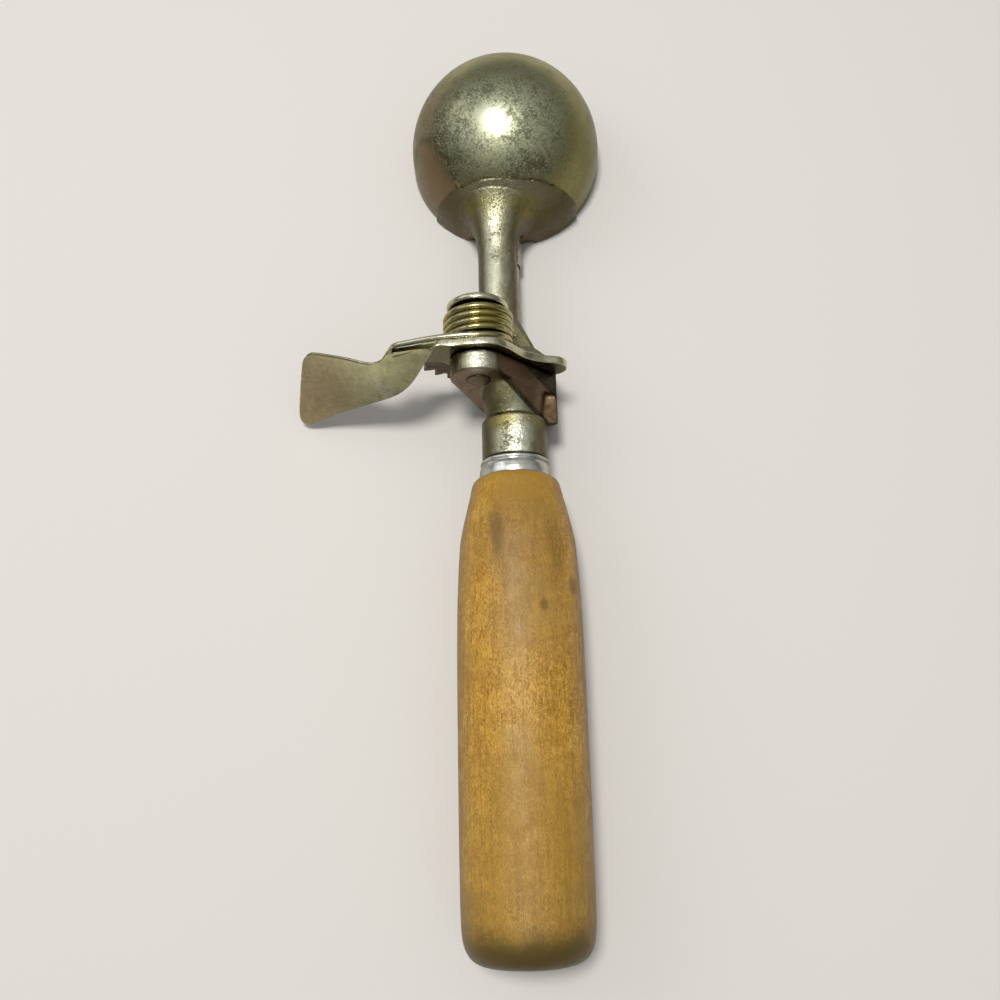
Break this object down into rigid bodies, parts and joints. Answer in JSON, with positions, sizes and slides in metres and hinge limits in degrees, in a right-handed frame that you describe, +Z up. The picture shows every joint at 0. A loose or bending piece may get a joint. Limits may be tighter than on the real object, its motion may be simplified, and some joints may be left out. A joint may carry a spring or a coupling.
{
  "type": "ice cream scoop",
  "caption": "Ice cream scoop with a half-sphere bowl, a thumb lever that turns a geared sweep blade inside it, a wound return spring and a turned wooden handle.",
  "frame": {"origin": "centre of the handle's flat butt", "axes": "+Y along the handle towards the bowl, +Z up out of the bowl's back as it lies mouth down, +X to the right with the thumb lever on the left"},
  "size_m": [0.0918, 0.2654, 0.0383],
  "materials": {
    "maple": "worn oiled maple",
    "aged_plate": "old bright plate with fine dark pitting and yellow tarnish",
    "nickel": "satin yellowed nickel plate",
    "bright_steel": "worn bright steel",
    "spring_steel": "olive tarnished spring wire"
  },
  "bodies": {
    "frame": {"handle_grip": "maple", "ferrule": "bright_steel", "frame_casting": "aged_plate", "bowl": "aged_plate", "pivot_stud": "bright_steel", "stud_cap": "spring_steel", "spring_sleeve": "spring_steel", "spring_washer": "bright_steel", "return_spring": "spring_steel", "shaft_bearing": "bright_steel", "blade_pivot_pin": "bright_steel"},
    "lever": {"thumb_lever": "nickel", "gear_sector": "nickel", "sector_rivet_left": "bright_steel", "sector_rivet_right": "bright_steel"},
    "scraper": {"scraper_shaft": "bright_steel", "pinion": "bright_steel", "scraper_blade": "aged_plate"}
  },
  "joints": [
    {"name": "lever", "type": "hinge", "parent": "frame", "child": "lever", "pos_m": [-0.0095, 0.153, 0.01148], "axis": [0, -1, 0], "range_deg": [0, 48], "stiffness_Nm_per_rad": 0.35, "springref_deg": -20.05, "deforming": ["return_spring"]},
    {"name": "scraper", "type": "hinge", "parent": "frame", "child": "scraper", "pos_m": [0, 0.235, -0.0101], "axis": [0, 1, 0], "range_deg": [0, 168]}
  ],
  "couplings": [
    {"joint": "scraper", "follows": "lever", "ratio": 3.5}
  ]
}
